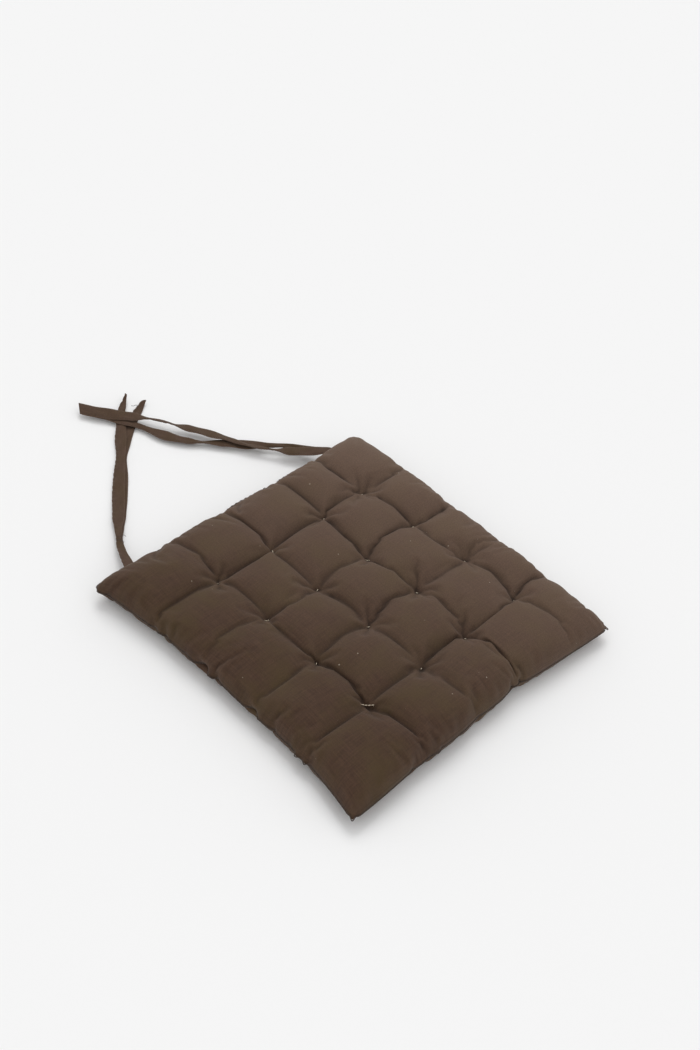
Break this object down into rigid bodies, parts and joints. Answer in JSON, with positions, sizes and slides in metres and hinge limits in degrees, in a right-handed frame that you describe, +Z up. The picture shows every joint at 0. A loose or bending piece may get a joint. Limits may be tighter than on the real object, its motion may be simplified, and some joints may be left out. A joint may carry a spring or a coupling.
{
  "type": "chair seat pad",
  "caption": "Square quilted chair seat pad of plain brown cotton, tufted in a regular grid, with pairs of flat fabric ties sewn into its back edge.",
  "frame": {"origin": "on the surface the pad lies on, under the middle of the pad itself, ties left out", "axes": "+Z up through the pad's thickness, +Y towards the back edge that carries the ties, +X to the right seen from the front edge"},
  "size_m": [0.4, 0.6558, 0.0405],
  "materials": {
    "cotton_cover": "matte plain-weave cotton",
    "cotton_tie": "matte plain-weave cotton, folded and stitched",
    "seam_thread": "matte cotton thread",
    "tuft_thread": "matte cream cotton thread",
    "wadding": "matte loose fibre"
  },
  "bodies": {
    "pad": {"cover_top": "cotton_cover", "cover_bottom": "cotton_cover", "filling": "wadding", "tuft_stitch_1_1": "tuft_thread", "tuft_stitch_1_2": "tuft_thread", "tuft_stitch_1_3": "tuft_thread", "tuft_stitch_1_4": "tuft_thread", "tuft_stitch_2_1": "tuft_thread", "tuft_stitch_2_2": "tuft_thread", "tuft_stitch_2_3": "tuft_thread", "tuft_stitch_2_4": "tuft_thread", "tuft_stitch_3_1": "tuft_thread", "tuft_stitch_3_2": "tuft_thread", "tuft_stitch_3_3": "tuft_thread", "tuft_stitch_3_4": "tuft_thread", "tuft_stitch_4_1": "tuft_thread", "tuft_stitch_4_2": "tuft_thread", "tuft_stitch_4_3": "tuft_thread", "tuft_stitch_4_4": "tuft_thread", "edge_seam": "seam_thread", "closing_seam": "seam_thread", "tie_root_left": "cotton_tie", "tie_root_right": "cotton_tie"},
    "left_upper_tie": {"tie_left_upper": "cotton_tie"},
    "left_lower_tie": {"tie_left_lower": "cotton_tie"},
    "right_upper_tie": {"tie_right_upper": "cotton_tie"},
    "right_lower_tie": {"tie_right_lower": "cotton_tie"}
  },
  "joints": [
    {"name": "left_upper_swing", "type": "hinge", "parent": "pad", "child": "left_upper_tie", "pos_m": [-0.14726, 0.20241, 0.0155], "axis": [0, 0, 1], "range_deg": [-20, 90]},
    {"name": "left_lower_swing", "type": "hinge", "parent": "pad", "child": "left_lower_tie", "pos_m": [-0.14726, 0.20241, 0.0155], "axis": [0, 0, 1], "range_deg": [-20, 90]},
    {"name": "right_upper_swing", "type": "hinge", "parent": "pad", "child": "right_upper_tie", "pos_m": [0.15721, 0.20258, 0.0155], "axis": [0, 0, 1], "range_deg": [-90, 20]},
    {"name": "right_lower_swing", "type": "hinge", "parent": "pad", "child": "right_lower_tie", "pos_m": [0.15721, 0.20258, 0.0155], "axis": [0, 0, 1], "range_deg": [-90, 20]}
  ]
}
